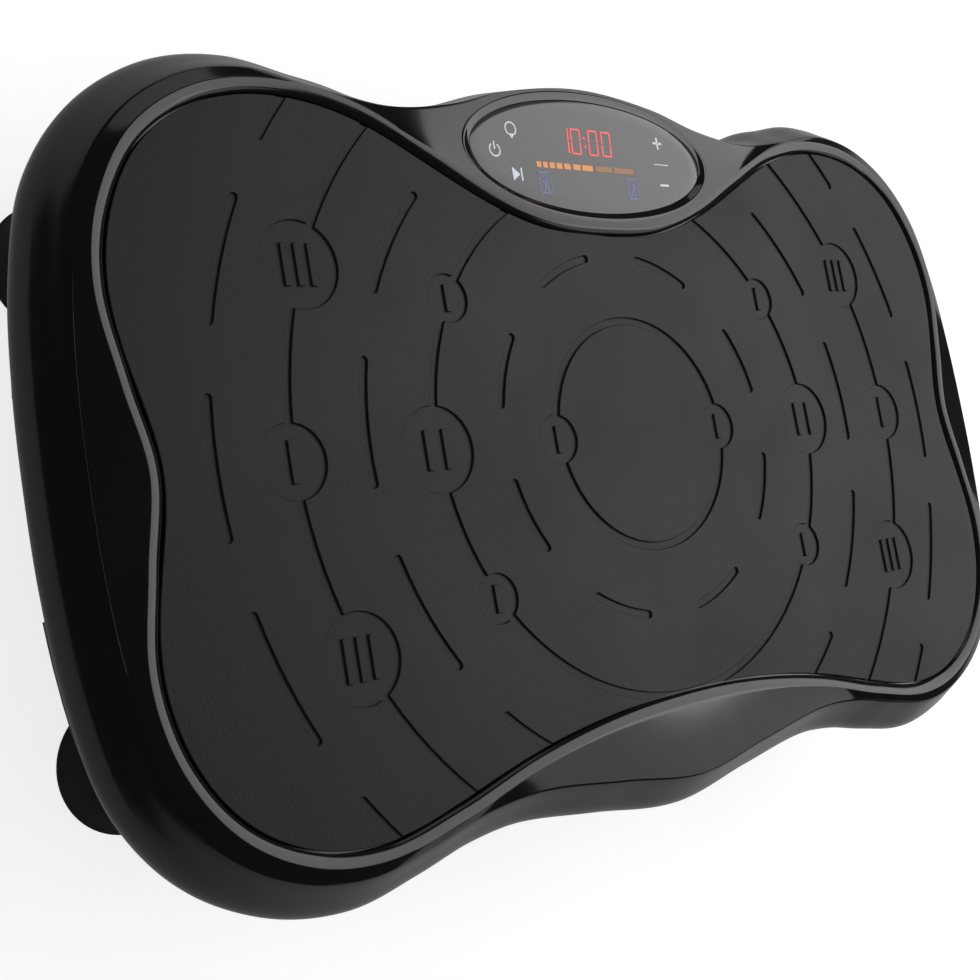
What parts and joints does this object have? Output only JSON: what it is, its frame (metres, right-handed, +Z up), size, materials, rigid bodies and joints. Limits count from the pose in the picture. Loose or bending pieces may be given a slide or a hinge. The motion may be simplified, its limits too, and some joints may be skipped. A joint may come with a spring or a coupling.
{
  "type": "vibration plate",
  "caption": "Slim oscillating vibration plate: waisted black deck with a grooved foot mat and touch display, rocking on a low tray with suction feet and grip notches.",
  "frame": {"origin": "on the floor under the middle of the deck", "axes": "+Z up out of the foot mat, +X along the plate's length, +Y towards the edge with the display"},
  "size_m": [0.6689, 0.4129, 0.124],
  "materials": {
    "shell": "glossy black",
    "tray": "satin black",
    "mat": "matte charcoal, fine grain",
    "bezel": "piano black",
    "lens": "smoked, printed symbols",
    "feet": "matte black",
    "board": "green circuit board",
    "steel_plate": "black powder coat",
    "steel": "zinc plated",
    "alloy": "cast",
    "brass": "turned",
    "magnet": "ferrite",
    "plastic": "moulded black",
    "belt": "black"
  },
  "bodies": {
    "base": {"base_tray": "tray", "frame_plate": "steel_plate", "frame_screws": "steel", "block_screws": "steel", "foot_rear_left": "feet", "foot_rear_right": "feet", "foot_front_left": "feet", "foot_front_right": "feet", "foot_bolts": "steel", "foot_nuts": "steel", "pivot_block_rear": "steel_plate", "pivot_block_front": "steel_plate", "pivot_bearing_rear": "steel", "pivot_bearing_front": "steel", "crank_block_rear": "steel_plate", "crank_block_front": "steel_plate", "crank_bearing_rear": "steel", "crank_bearing_front": "steel", "motor_can": "steel_plate", "motor_end_cap": "steel_plate", "motor_bushes": "brass", "motor_magnets": "magnet", "motor_cradle": "plastic", "motor_straps": "steel_plate", "board_posts": "plastic", "control_board": "board", "power_inlet": "plastic", "inlet_pins": "brass", "switch_frame": "plastic", "drive_belt": "belt"},
    "deck": {"upper_shell": "shell", "foot_mat": "mat", "display_bezel": "bezel", "display_lens": "lens", "display_board": "board", "deck_plate": "steel_plate", "deck_screws": "steel", "pivot_bracket_rear": "steel_plate", "pivot_bracket_front": "steel_plate", "pivot_shaft": "steel", "shaft_collars": "steel", "drive_bracket": "steel_plate", "wrist_pin": "steel", "bracket_screws": "steel"},
    "crank": {"crankshaft": "steel", "counterweight": "steel", "crank_pulley": "alloy"},
    "rod": {"connecting_rod": "alloy", "rod_bearing": "steel"},
    "rotor": {"armature": "steel", "commutator": "brass", "motor_shaft": "steel", "motor_pulley": "alloy"},
    "rocker": {"switch_rocker": "plastic"}
  },
  "joints": [
    {"name": "deck_rock", "type": "hinge", "parent": "base", "child": "deck", "pos_m": [0, 0, 0.092], "axis": [0, 1, 0], "range_deg": [-1.25, 1.25]},
    {"name": "crank_spin", "type": "hinge", "parent": "base", "child": "crank", "pos_m": [0.09, 0, 0.06], "axis": [0, 1, 0], "continuous": true},
    {"name": "rotor_spin", "type": "hinge", "parent": "base", "child": "rotor", "pos_m": [-0.11, 0, 0.066], "axis": [0, 1, 0], "continuous": true},
    {"name": "rod_swing", "type": "hinge", "parent": "crank", "child": "rod", "pos_m": [0.092, 0, 0.06], "axis": [0, 1, 0], "continuous": true},
    {"name": "power_switch", "type": "hinge", "parent": "base", "child": "rocker", "pos_m": [0.222, 0.1485, 0.06], "axis": [0, 0, 1], "range_deg": [-7, 7]}
  ],
  "couplings": [
    {"joint": "rotor_spin", "follows": "crank_spin", "ratio": 2.5},
    {"joint": "rod_swing", "follows": "crank_spin", "ratio": -1}
  ]
}
